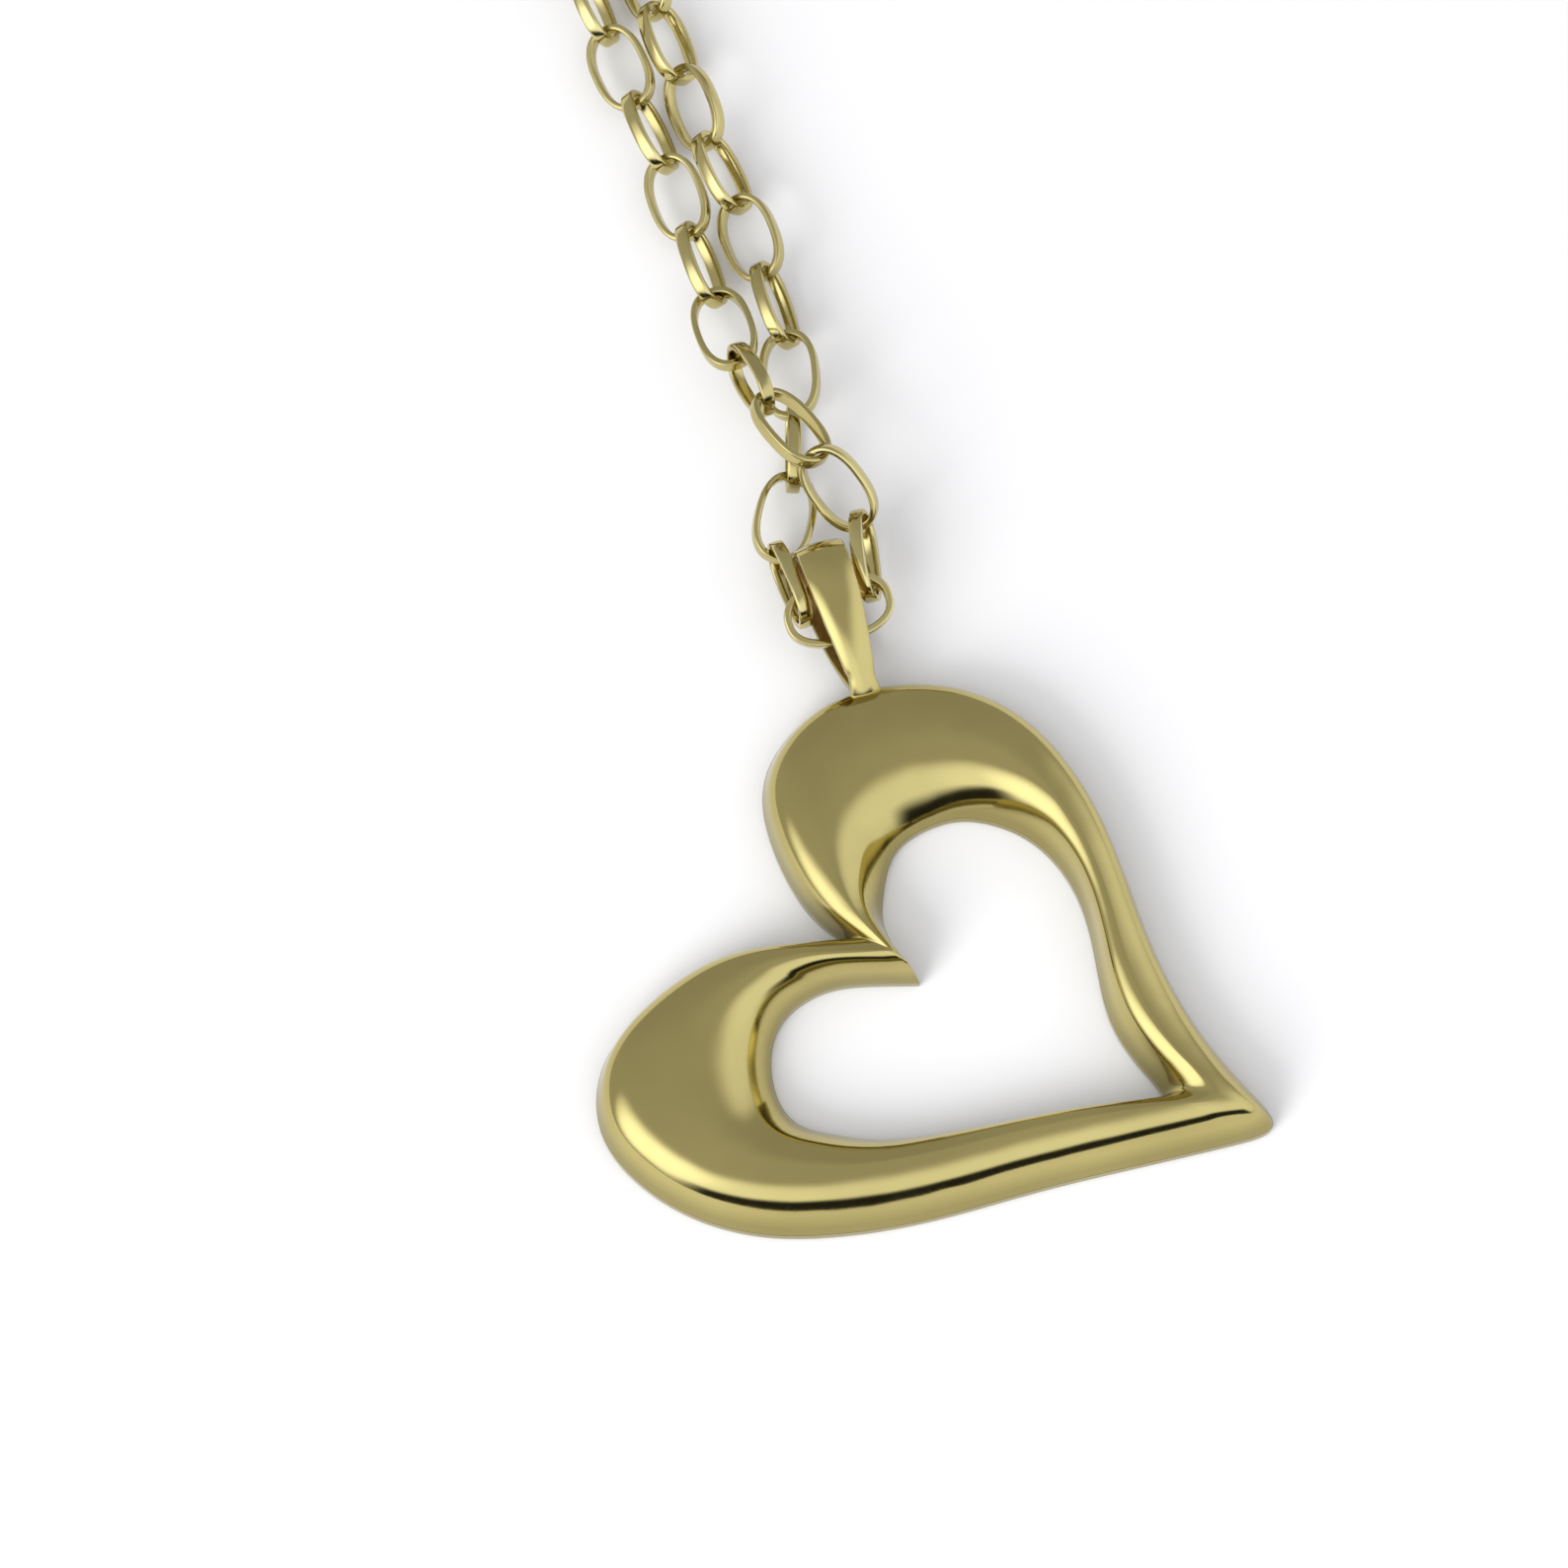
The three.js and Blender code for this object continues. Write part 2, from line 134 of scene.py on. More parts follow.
def natural_spline(knots, values, at):
    """Values at the given parameters of the natural cubic spline through (knots, values)."""
    knots, values, at = (np.asarray(v, float) for v in (knots, values, at))
    gap = np.diff(knots)
    system, right = np.eye(len(knots)), np.zeros_like(values)
    for i in range(1, len(knots) - 1):
        system[i, i - 1 : i + 2] = gap[i - 1], 2 * (gap[i - 1] + gap[i]), gap[i]
        slopes = (values[i + 1] - values[i]) / gap[i] - (values[i] - values[i - 1]) / gap[i - 1]
        right[i] = 6 * slopes
    bend = np.linalg.solve(system, right)
    i = np.clip(np.searchsorted(knots, at) - 1, 0, len(knots) - 2)
    a, b, g = (knots[i + 1] - at)[:, None], (at - knots[i])[:, None], gap[i][:, None]
    cubic = (bend[i] * a**3 + bend[i + 1] * b**3) / (6 * g)
    low = (values[i] / g - bend[i] * g / 6) * a
    high = (values[i + 1] / g - bend[i + 1] * g / 6) * b
    return cubic + low + high


def b_spline(points, count):
    """A smooth line that starts and ends at a control polygon's ends and rounds its corners."""
    points = np.array([points[0], points[0], *points, points[-1], points[-1]], float)
    at = np.linspace(0, len(points) - 3 - 1e-6, count + 1)  # the last span's end is left out
    first, t = at.astype(int), (at % 1)[:, None]
    weights = ((1 - t) ** 3, 3 * t**3 - 6 * t**2 + 4, 1 + 3 * t + 3 * t**2 - 3 * t**3, t**3)
    return sum(weight * points[first + i] for i, weight in enumerate(weights)) / 6


def rounded_section(width, thickness, bevel, crown=0.0, steps=3):
    """Points round a strap's section: across it and out of its outer face, which may bulge."""
    across_corner, out_corner = width / 2 - bevel, thickness / 2 - bevel
    points = []
    for k, (side, face) in enumerate([(1, -1), (1, 1), (-1, 1), (-1, -1)]):
        for i in range(steps + 1):
            angle = math.pi / 2 * (k - 1 + i / steps)
            x = side * across_corner + bevel * math.cos(angle)
            y = face * out_corner + bevel * math.sin(angle)
            points.append((x, y))
        if (side, face) == (1, 1):
            points += [(share * across_corner, thickness / 2) for share in (0.5, 0.0, -0.5)]
    bulge = [crown * max(0.0, 1 - (2 * x / width) ** 2) if y > 0 else 0.0 for x, y in points]
    return [(x, y + rise) for (x, y), rise in zip(points, bulge)]


# ------------------------------------------------------------------ materials
# How coarse the patches of colour and the smears of polish are, in waves to the metre.
COLOUR_PATCHES = 180
POLISH_SMEARS = 900
PAINTED_SHADE_HEIGHTS = (0.9, 1.6)  # the heights in mm over which a metal's painted shade, low down, fades to full colour


def principled(name):
    material = bpy.data.materials.new(name)
    material.use_nodes = True
    return material, material.node_tree.nodes, material.node_tree.links


def noise(nodes, links, scale, detail=2.0, stretch=(1, 1, 1)):
    """A noise texture in the part's own frame, at so many waves to the metre."""
    place = nodes.new("ShaderNodeTexCoord")
    mapping = nodes.new("ShaderNodeMapping")
    mapping.inputs["Scale"].default_value = stretch
    texture = nodes.new("ShaderNodeTexNoise")
    texture.inputs["Scale"].default_value = scale
    texture.inputs["Detail"].default_value = detail
    links.new(place.outputs["Object"], mapping.inputs["Vector"])
    links.new(mapping.outputs["Vector"], texture.inputs["Vector"])
    return texture.outputs["Fac"]


def ramp(nodes, links, factor, low, high):
    """The factor's middle part turned into a colour from low to high."""
    node = nodes.new("ShaderNodeValToRGB")
    for element, place, value in zip(node.color_ramp.elements, (0.3, 0.7), (low, high)):
        element.position = place
        element.color = (*value, 1)
    links.new(factor, node.inputs["Fac"])
    return node.outputs["Color"]


def spread_value(nodes, links, factor, low, high):
    """The factor turned into a number from low to high."""
    node = nodes.new("ShaderNodeMapRange")
    node.inputs["To Min"].default_value = low
    node.inputs["To Max"].default_value = high
    links.new(factor, node.inputs["Value"])
    return node.outputs["Result"]


def bump(nodes, links, height, distance, under=None):
    """Relief of the given depth in metres, on top of another bump's if there is one."""
    node = nodes.new("ShaderNodeBump")
    node.inputs["Distance"].default_value = distance
    node.inputs["Strength"].default_value = 1.0
    links.new(height, node.inputs["Height"])
    if under:
        links.new(under, node.inputs["Normal"])
    return node.outputs["Normal"]


def painted_foot_shade(nodes, links, colour, shade):
    """The colour darkened towards the part's back: painted shade that dims the low walls'
    reflections.
    """
    place = nodes.new("ShaderNodeTexCoord")
    split = nodes.new("ShaderNodeSeparateXYZ")
    links.new(place.outputs["Object"], split.inputs["Vector"])
    rise = nodes.new("ShaderNodeMapRange")
    rise.inputs["From Min"].default_value = PAINTED_SHADE_HEIGHTS[0] * MM
    rise.inputs["From Max"].default_value = PAINTED_SHADE_HEIGHTS[1] * MM
    rise.inputs["To Min"].default_value = shade
    links.new(split.outputs["Z"], rise.inputs["Value"])
    scaled = nodes.new("ShaderNodeVectorMath")
    scaled.operation = "SCALE"
    links.new(colour, scaled.inputs[0])
    links.new(rise.outputs["Result"], scaled.inputs["Scale"])
    return scaled.outputs["Vector"]


def metal(name, dark, light, rough, waves, scratches, foot=1.0):
    """A metal whose colour and polish vary a little, with hand-finished waves and fine scratches.

    rough is the roughness's range. waves is (waves per metre, height in metres), and so is
    scratches. foot is how much of the colour's brightness the painted shade leaves at the part's
    back.
    """
    material, nodes, links = principled(name)
    shader = nodes["Principled BSDF"]
    shader.inputs["Metallic"].default_value = 1.0
    patches = noise(nodes, links, COLOUR_PATCHES, 3)
    colour = painted_foot_shade(nodes, links, ramp(nodes, links, patches, dark, light), foot)
    links.new(colour, shader.inputs["Base Color"])
    smears = noise(nodes, links, POLISH_SMEARS, 4, (1, 0.25, 1))
    links.new(spread_value(nodes, links, smears, *rough), shader.inputs["Roughness"])
    soft = bump(nodes, links, noise(nodes, links, waves[0], 1), waves[1])
    fine = noise(nodes, links, scratches[0], 5, (1, 0.12, 1))
    links.new(bump(nodes, links, fine, scratches[1], soft), shader.inputs["Normal"])
    return material


polished = metal(
    "polished_gold",
    dark=(0.47, 0.395, 0.15),
    light=(0.53, 0.45, 0.175),
    rough=(0.08, 0.14),
    waves=(420, 0.00003),
    scratches=(9000, 0.0000004),
    # foot: painted shade, so the low walls keep 0.7 of their colour
    foot=0.7,
)
unpolished = metal(
    "unpolished_gold",
    dark=(0.22, 0.12, 0.03),
    light=(0.6, 0.42, 0.15),
    rough=(0.3, 0.5),
    waves=(2200, 0.00006),
    scratches=(9000, 0.000004),
)
chain_gold = metal(
    "chain_gold",
    dark=(0.46, 0.385, 0.155),
    light=(0.62, 0.535, 0.24),
    rough=(0.08, 0.18),
    waves=(900, 0.000008),
    scratches=(14000, 0.0000008),
)
steel = metal(
    "spring_steel",
    dark=(0.42, 0.42, 0.41),
    light=(0.55, 0.55, 0.54),
    rough=(0.25, 0.38),
    waves=(900, 0.000004),
    scratches=(14000, 0.0000008),
)


def dress(piece, material, slot, body, *nodes):
    """Gives a piece its material and body, and hides the CAD nodes that it stands for."""
    piece.data.materials.clear()
    piece.data.materials.append(material)
    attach(piece, body)
    if nodes:
        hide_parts(*nodes)
    return piece


# ------------------------------------------------------------------ heart
# Each station pairs a point on the outer outline with one on the opening's outline.
# Both arms start at the notch, where the opening has its cusp, and end at the tip.
NOTCH = [-4.1, -8.2, -1.8, -10.8]
TIP = [10.75, -21.7, 6.5, -18.9]
UPPER_ARM = [
    NOTCH,
    [-5.3, -6.2, -2.4, -8.5],
    [-5.8, -2.6, -2.1, -6.8],
    [-4.9, 0.3, -1.2, -5.2],
    [-2.4, 2.05, -0.2, -4.5],
    [0.7, 2.3, 1.0, -4.25],
    [3.9, 1.2, 2.4, -4.4],
    [6.1, -0.9, 3.8, -5.2],
    [7.5, -4.2, 5.1, -6.8],
    [7.95, -7.9, 5.75, -9.3],
    [8.0, -12.0, 5.5, -12.4],
    [8.5, -15.8, 5.3, -15.2],
    [9.5, -18.9, 5.9, -17.4],
    TIP,
]
LOWER_ARM = [
    NOTCH,
    [-6.7, -7.7, -3.1, -10.4],
    [-9.8, -7.4, -4.6, -10.0],
    [-13.3, -8.5, -6.1, -9.95],
    [-15.7, -10.4, -7.6, -10.5],
    [-16.5, -12.8, -8.6, -11.7],
    [-15.9, -15.1, -9.05, -13.4],
    [-14.3, -17.3, -8.7, -15.0],
    [-12.0, -19.0, -7.5, -15.95],
    [-9.0, -20.1, -5.7, -16.8],
    [-5.0, -20.75, -3.1, -17.35],
    [0.0, -20.95, 0.4, -17.85],
    [5.2, -21.3, 3.6, -18.3],
    TIP,
]
HEART_STEPS = 120  # stations on each arm
TIP_REACH = 12  # stations on each side of the tip that its rounding takes in
TIP_ROUNDS = 40
BACK_THICKNESS = 0.5
PLATE_EDGE = 0.08  # the chamfer round the plate's back
PLATE_LIP = (0.1, 0.02)  # the width and depth of the flatter one round its front
SHELL_FOOT = 0.45  # the height of the shell's rim, which sinks a little into the plate
WALL = 0.45
HOLLOW_GAP = 0.1  # how much more than WALL the hollow keeps from the skin over its foot
HOLLOW_SHOULDER = (1.3, 1.5)  # the hollow's outer shoulder: distance from the outline, height
SKIN_STEPS = 48
VENTS = [(2.6, -1.6), (-12.6, -13.2)]
VENT_RADIUS = 0.35
# Control points of the section's outer side, from the outline inward: distance and height.
# It leans in gently where it faces -Y, and is steep all round the rest of the heart.
GENTLE_OUTER = [
    (0.0, SHELL_FOOT),
    (0.2, 0.92),
    (0.42, 1.25),
    (0.78, 1.72),
    (1.13, 2.09),
    (1.65, 2.42),
    (2.4, 2.58),
]
STEEP_OUTER = [
    (0.0, SHELL_FOOT),
    (0.14, 1.0),
    (0.27, 1.5),
    (0.42, 1.85),
    (0.68, 2.12),
    (1.2, 2.42),
    (2.0, 2.58),
]
# Those of its side towards the opening, from the opening inward. A broad lobe scoops down to
# the opening gently, and a narrow arm has a steep wall up to a rounded ridge.
BROAD_SIDE = [
    (0.0, SHELL_FOOT),
    (0.15, 0.85),
    (0.52, 1.32),
    (1.0, 1.78),
    (1.5, 2.2),
    (2.3, 2.58),
]
NARROW_SIDE = [
    (0.0, SHELL_FOOT),
    (0.2, 1.1),
    (0.4, 1.8),
    (0.52, 2.2),
    (0.7, 2.44),
    (1.1, 2.57),
]
NARROW, BROAD = 2.6, 6.6  # the widths of band that the two belong to
CREST_RISE = 0.075  # how far the crest stands over both sides, as a share of its breadth
CREST_ROOM = 0.3  # the least of the band's width that is left between its two sides
LEANS_FROM, LEANS_FULLY = 0.0, 0.7  # the facings between which steep becomes gentle


def arm_stations(arm, count):
    """Stations along one arm, closer together near its two ends."""
    arm = np.array(arm, float)
    steps = np.diff(arm, axis=0)
    lengths = (np.hypot(steps[:, 0], steps[:, 1]) + np.hypot(steps[:, 2], steps[:, 3])) / 2
    knots = np.concatenate([[0], np.cumsum(lengths)])
    share = np.arange(count + 1) / count
    spaced = 0.5 * share + 0.5 * (1 - np.cos(math.pi * share)) / 2
    return natural_spline(knots, arm, knots[-1] * spaced)


def round_tip(stations, tip):
    """Takes the corner off the band's tip by averaging the stations near it."""
    near = range(tip - TIP_REACH, tip + TIP_REACH + 1)
    for _ in range(TIP_ROUNDS):
        before = stations.copy()
        for i in near:
            stations[i] = (before[i - 1] + 2 * before[i] + before[i + 1]) / 4
    return stations


def heart_stations():
    """Stations all round the band: from the notch along the upper arm and back along the lower."""
    upper, lower = arm_stations(UPPER_ARM, HEART_STEPS), arm_stations(LOWER_ARM, HEART_STEPS)
    return round_tip(np.concatenate([upper, lower[-2:0:-1]]), HEART_STEPS)


def band_width(station):
    return math.dist(station[:2], station[2:])


def across_band(station, profile):
    """Places a profile of (distance from the outer edge, height) on one station."""
    outer, inner = np.array(station[:2]), np.array(station[2:])
    toward = (inner - outer) / np.linalg.norm(inner - outer)
    return [(*(outer + toward * distance), height) for distance, height in profile]


def eased(value, none, full):
    """0 up to none and 1 from full, easing between."""
    share = min(max((value - none) / (full - none), 0), 1)
    return share * share * (3 - 2 * share)


def blended(first, second, share):
    """A table that is the first at share 0 and the second at share 1."""
    return np.array(first) * (1 - share) + np.array(second) * share


def shell_skin(station):
    """The control points of the shell's outer side, its crest and its side towards the opening."""
    width = band_width(station)
    facing = (station[3] - station[1]) / width  # 1 where the outer side looks towards -Y
    breadth = min(max((width - NARROW) / (BROAD - NARROW), 0), 1)
    near = blended(NARROW_SIDE, BROAD_SIDE, breadth)
    outer = blended(STEEP_OUTER, GENTLE_OUTER, eased(facing, LEANS_FROM, LEANS_FULLY))
    fit = min(1, (width - CREST_ROOM) / (outer[-1, 0] + near[-1, 0]))
    outer[:, 0] *= fit
    near[:, 0] = width - fit * near[:, 0]
    flat = near[-1, 0] - outer[-1, 0]
    crest = ((near[-1, 0] + outer[-1, 0]) / 2, outer[-1, 1] + CREST_RISE * flat)
    return outer.tolist(), crest, near[::-1].tolist()


def shell_profile(station):
    """The hollow shell's section over one station, as a closed line of points."""
    outer, crest, near = shell_skin(station)
    width = band_width(station)
    hollow = [
        (width - WALL, SHELL_FOOT),
        (width - WALL - HOLLOW_GAP, 2 * SHELL_FOOT),
        (crest[0], crest[1] - WALL - HOLLOW_GAP),
        (min(HOLLOW_SHOULDER[0], 0.4 * width), HOLLOW_SHOULDER[1]),
        (WALL, SHELL_FOOT),
    ]
    return [*b_spline([*outer, crest, *near], SKIN_STEPS).tolist(), *hollow]


def plate_profile(station):
    """The back plate's section over one station: a flat bar with its edges taken off."""
    width, top = band_width(station), BACK_THICKNESS
    lip, drop = PLATE_LIP
    return [
        (PLATE_EDGE, 0.0),
        (0.0, PLATE_EDGE),
        (0.0, top - drop),
        (lip, top),
        (width - lip, top),
        (width, top - drop),
        (width, PLATE_EDGE),
        (width - PLATE_EDGE, 0.0),
        (width * 0.6, 0.0),
        (width * 0.4, 0.0),
    ]


def heart_piece(name, profile):
    """A piece that goes all round the heart with the given profile."""
    rows = [across_band(station, profile(station)) for station in heart_stations()]
    return ring_piece(name, rows)


def cut_vents(plate):
    """Cuts the round holes through the plate that a hollow casting needs."""
    for x, y in VENTS:
        bpy.ops.mesh.primitive_cylinder_add(
            radius=VENT_RADIUS * MM,
            depth=4 * BACK_THICKNESS * MM,
            location=(x * MM, y * MM, 0),
            vertices=32,
        )
        cutter = bpy.context.object
        cut = add_modifier(plate, "BOOLEAN", object=cutter, operation="DIFFERENCE")
        bpy.context.view_layer.objects.active = plate
        bpy.ops.object.modifier_apply(modifier=cut.name)
        bpy.data.objects.remove(cutter)


def build_heart():
    shell = heart_piece("heart_front", shell_profile)
    dress(shell, polished, "polished_gold", "pendant", "heart_front_shell")
    plate = heart_piece("heart_back", plate_profile)
    cut_vents(plate)
    plate.data.set_sharp_from_angle(angle=math.radians(30))
    dress(plate, polished, "polished_gold", "pendant", "heart_back_plate")


build_heart()


# ------------------------------------------------------------------ bail
BAIL = {"foot": 2.1, "top": 8.65, "inner": 1.6, "strap": 0.35, "x": -0.05, "z": 1.97}
BAIL_STEPS = 14  # rows along each leaf, and round the fold
BAIL_SQUARENESS = 0.75  # under 1 the fold is squarer than a half circle
BAIL_CROWN = 0.2
BAIL_BEVEL = 0.07
BAIL_NECK = 0.6  # how far over the foot the leaves end, and half the gap between them there
LEAF_CURVE = 0.85  # under 1 the leaves part sooner than a cosine does
NARROW_HALF, WIDENING = 0.55, 0.5  # half the strap's width at the foot, and what is added to it
# Where the back leaf and the front one sink into the heart: Y, Z over the bail's centre and
# half the strap's width.
BAIL_TAIL = [(1.9, -0.45, 0.57), (2.2, -0.5, 0.57), (2.5, -0.55, 0.57)]
BAIL_FOOT = [
    (2.5, 0.47, 0.57),
    (2.3, 0.35, 0.57),
    (2.1, 0.2, 0.6),
    (1.9, 0.0, 0.66),
    (1.7, -0.25, 0.76),
    (1.5, -0.55, 0.88),
]


def bail_half_width(y):
    """Half the strap's width: narrow at the heart and wide where it folds over the link."""
    share = min(max((y - BAIL["foot"]) / (BAIL["top"] - 1 - BAIL["foot"]), 0), 1)
    return NARROW_HALF + WIDENING * math.sin(math.pi / 2 * share)


def bail_leaf(bend, radius):
    """Rows of Y, Z and half width from the neck to the fold, for the front leaf."""
    neck = BAIL["foot"] + BAIL_NECK
    leaf = []
    for i in range(BAIL_STEPS):
        share = 1 - i / BAIL_STEPS
        y = bend + (neck - bend) * share
        half = BAIL_NECK + (radius - BAIL_NECK) * math.cos(math.pi / 2 * share) ** LEAF_CURVE
        leaf.append((y, half, bail_half_width(y)))
    return leaf


def bail_fold(bend, radius):
    """Rows of Y, Z, half width and crown round the fold, from the back to the front."""
    fold = []
    for i in range(BAIL_STEPS + 1):
        angle = math.pi * (i / BAIL_STEPS - 0.5)
        reach = radius * math.cos(angle) ** BAIL_SQUARENESS
        height = radius * math.copysign(abs(math.sin(angle)) ** BAIL_SQUARENESS, angle)
        crown = BAIL_CROWN * i / BAIL_STEPS
        fold.append((bend + reach, height, bail_half_width(bend + reach), crown))
    return fold


def bail_line():
    """Rows of Y, Z, half width and crown: the back leaf, the fold, the front leaf and its foot.

    The back leaf rests flat on the table, and the front leaf is crowned.
    """
    radius = BAIL["inner"] + BAIL["strap"] / 2
    bend = BAIL["top"] - BAIL["inner"] - BAIL["strap"]
    leaf = bail_leaf(bend, radius)
    tail = [(*row, 0.0) for row in BAIL_TAIL]
    back = [(y, -z, half, 0.0) for y, z, half in leaf]
    front = [(*row, BAIL_CROWN) for row in leaf[::-1] + BAIL_FOOT]
    return tail + back + bail_fold(bend, radius) + front


def bail_rows():
    """The strap's section, square to the bail's line at each of its rows."""
    line = bail_line()
    rows = []
    for i, (y, z, half, crown) in enumerate(line):
        before, after = line[max(i - 1, 0)], line[min(i + 1, len(line) - 1)]
        along = Vector((0, after[0] - before[0], after[1] - before[1])).normalized()
        out = Vector((1, 0, 0)).cross(along)
        section = rounded_section(2 * half, BAIL["strap"], BAIL_BEVEL, crown)
        middle = Vector((BAIL["x"], y, BAIL["z"] + z))
        rows.append([middle + Vector((1, 0, 0)) * u - out * v for u, v in section])
    return rows


def build_bail():
    rows = bail_rows()
    columns = len(rows[0])
    faces = grid_faces(len(rows), columns, joined=False)
    faces.append(tuple(range(columns)))
    faces.append(tuple(range((len(rows) - 1) * columns, len(rows) * columns))[::-1])
    bail = face_outward(mesh_object("bail_strap", [p for row in rows for p in row], faces))
    dress(bail, polished, "polished_gold", "pendant", "bail")
    bail.data.materials.append(unpolished)
    for polygon in bail.data.polygons:
        if polygon.index % columns == columns - 1:  # the strap's side that faces into the loop
            polygon.material_index = 1


build_bail()


# ------------------------------------------------------------------ links
LINK = {"length": 4.12, "width": 2.6, "thickness": 0.27, "strap": 0.58}
BAIL_LINK = {"length": 4.75, "width": 2.85, "thickness": 0.3, "strap": 0.6}
OVAL = 0.82  # under 1 a link is squarer than an ellipse
LINK_BEVEL = 0.055
LINK_CROWN = 0.02
LINK_STEPS = 72
NEARBY = 0.02  # the angle to each side over which a link's direction is taken


def oval_point(size, angle):
    """A point on the middle line of a link's strap."""
    x, y = (math.copysign(abs(v) ** OVAL, v) for v in (math.cos(angle), math.sin(angle)))
    middle = size["thickness"] / 2
    return Vector(((size["length"] / 2 - middle) * x, (size["width"] / 2 - middle) * y, 0))


def link_rows(size, steps, corner_steps=2):
    """A link's rows of points: its long way is X, and its strap's width is Z."""
    strap, thickness = size["strap"], size["thickness"]
    section = rounded_section(strap, thickness, LINK_BEVEL, LINK_CROWN, corner_steps)
    rows = []
    for i in range(steps):
        angle = 2 * math.pi * (i + 0.5) / steps
        along = oval_point(size, angle + NEARBY) - oval_point(size, angle - NEARBY)
        out = along.normalized().cross(Vector((0, 0, 1)))
        rows.append([oval_point(size, angle) + out * v + Vector((0, 0, u)) for u, v in section])
    return rows


def place_of(node):
    """Where a CAD link lies: its centre, and its long, wide and thin directions."""
    points = np.array([v.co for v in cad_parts[node].data.vertices], float)
    centre = Vector(points.mean(0))
    _, axes = np.linalg.eigh(np.cov((points - points.mean(0)).T))
    along, thin = Vector(axes[:, 2]), Vector(axes[:, 0])
    wide = thin.cross(along)
    return Matrix.Translation(centre) @ Matrix((along, wide, thin)).transposed().to_4x4()


def build_link(node, size):
    piece = ring_piece(node + "_strap", link_rows(size, LINK_STEPS))
    piece.data.transform(place_of(node))
    dress(piece, chain_gold, "chain_gold", node, node)


build_link("bail_link", BAIL_LINK)
for strand_node in sorted(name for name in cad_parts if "_link_" in name):
    build_link(strand_node, LINK)


# ------------------------------------------------------------------ stored chain
PITCH = 3.38  # a link's share of the chain's length
STORED_STEPS = 28  # round each stored link
COIL = (15.1, 57.0)
COIL_RADIUS = 16.5
TURN_GAP = 2.8
TURN_STEPS = 16
LEFT_TURNS, RIGHT_TURNS = 1.5, 2.0
LOWER_LAYER = 1.4
UPPER_LAYER = 4.2
LEFT_LEAD = [(-1.4, 43.5, 1.4), (-1.4, 47.5, 1.4), (-1.4, 51.5, 1.4), (-1.4, 55.0, 1.4)]
RIGHT_LEAD = [(1.1, 42.5, 1.5), (1.2, 46.0, 2.0), (0.7, 50.0, 3.3), (-0.6, 54.0, 4.1)]
# X and Y, from the coil's centre, of the left strand's last stretch to the clasp, which it comes
# to from the -Y side. The right strand's is the same, turned half round.
TAIL = [(11.2, -3.6), (9.6, -6.8), (6.6, -8.9), (3.2, -8.6)]
CLASP_TAIL = (COIL[0], COIL[1] - 6.3, 1.62)
CLASP_NOSE = (COIL[0], COIL[1] + 5.8, 1.82)


def lengths_along(path):
    """How far each point of a path is from its start, along the path."""
    return np.concatenate([[0], np.cumsum(np.linalg.norm(np.diff(path, axis=0), axis=1))])


def smooth_path(points, step=0.4):
    points = np.array(points, float)
    knots = lengths_along(points)
    count = int(knots[-1] / step) + 1
    return natural_spline(knots, points, np.linspace(0, knots[-1], count))


def coil_turns(turns, height):
    """Points of a flat coil that starts at the coil's -X side and winds inwards, clockwise."""
    points = []
    for i in range(round(TURN_STEPS * turns)):
        angle = math.pi - 2 * math.pi * i / TURN_STEPS
        radius = COIL_RADIUS - TURN_GAP * i / TURN_STEPS
        place = (COIL[0] + radius * math.cos(angle), COIL[1] + radius * math.sin(angle))
        points.append((*place, height))
    return points


def joints_along(path):
    """Points on a path, one at each end of every link that it has room for."""
    along = lengths_along(path)
    stations = np.linspace(0, along[-1], int(along[-1] / PITCH) + 1)
    return np.stack([np.interp(stations, along, path[:, k]) for k in range(3)], axis=1)


def cord_rows(path):
    """Links along a path, each rolled a quarter turn from the one before."""
    joints = [Vector(joint) for joint in joints_along(path)]
    shape = link_rows(LINK, STORED_STEPS, 1)
    links = []
    for i, (start, end) in enumerate(zip(joints, joints[1:])):
        direction = (end - start).normalized()
        level = Vector((0, 0, 1)).cross(direction).normalized()
        wide = Matrix.Rotation(math.radians(45 if i % 2 else -45), 3, direction) @ level
        basis = Matrix((direction, wide, direction.cross(wide))).transposed()
        links.append([[basis @ p + (start + end) / 2 for p in row] for row in shape])
    return links


def build_run(name, path, body, nodes):
    """One strand's stored links as one piece."""
    points, faces = [], []
    for link in cord_rows(path):
        faces += grid_faces(len(link), len(link[0]), len(points))
        points += [p for row in link for p in row]
    run = face_outward(mesh_object(name, points, faces))
    dress(run, chain_gold, "chain_gold", body, *nodes)


def strand_end(node):
    """The last separate link's far joint."""
    place = place_of(node)
    along = place.col[0].to_3d()
    if along.y < 0:
        along = -along
    return (place.translation / MM + along * PITCH / 2)[:]


def left_path():
    """From the last left link along the lead, round the lower layer and to the clasp's tail."""
    start = strand_end("left_link_10")
    turns = coil_turns(LEFT_TURNS, LOWER_LAYER)
    end = [(COIL[0] + x, COIL[1] + y, LOWER_LAYER) for x, y in TAIL]
    return smooth_path([start, *LEFT_LEAD, *turns, *end, CLASP_TAIL])


def right_path():
    """From the last right link along the lead, round the upper layer and down to the nose."""
    start = strand_end("right_link_10")
    turns = coil_turns(RIGHT_TURNS, UPPER_LAYER)
    heights = np.linspace(UPPER_LAYER - 0.4, LOWER_LAYER, len(TAIL))
    end = [(COIL[0] - x, COIL[1] - y, z) for (x, y), z in zip(TAIL, heights)]
    return smooth_path([start, *RIGHT_LEAD, *turns, *end, CLASP_NOSE])


# ------------------------------------------------------------------ clasp
RING_STEPS, WIRE_STEPS = 64, 14
RING_CUT = (9, 10)  # the steps of a jump ring where its wire is cut
CUT_WIRE = 0.86  # how thick the wire is there, next to the rest


def turn_angles(count):
    return [2 * math.pi * i / count for i in range(count)]


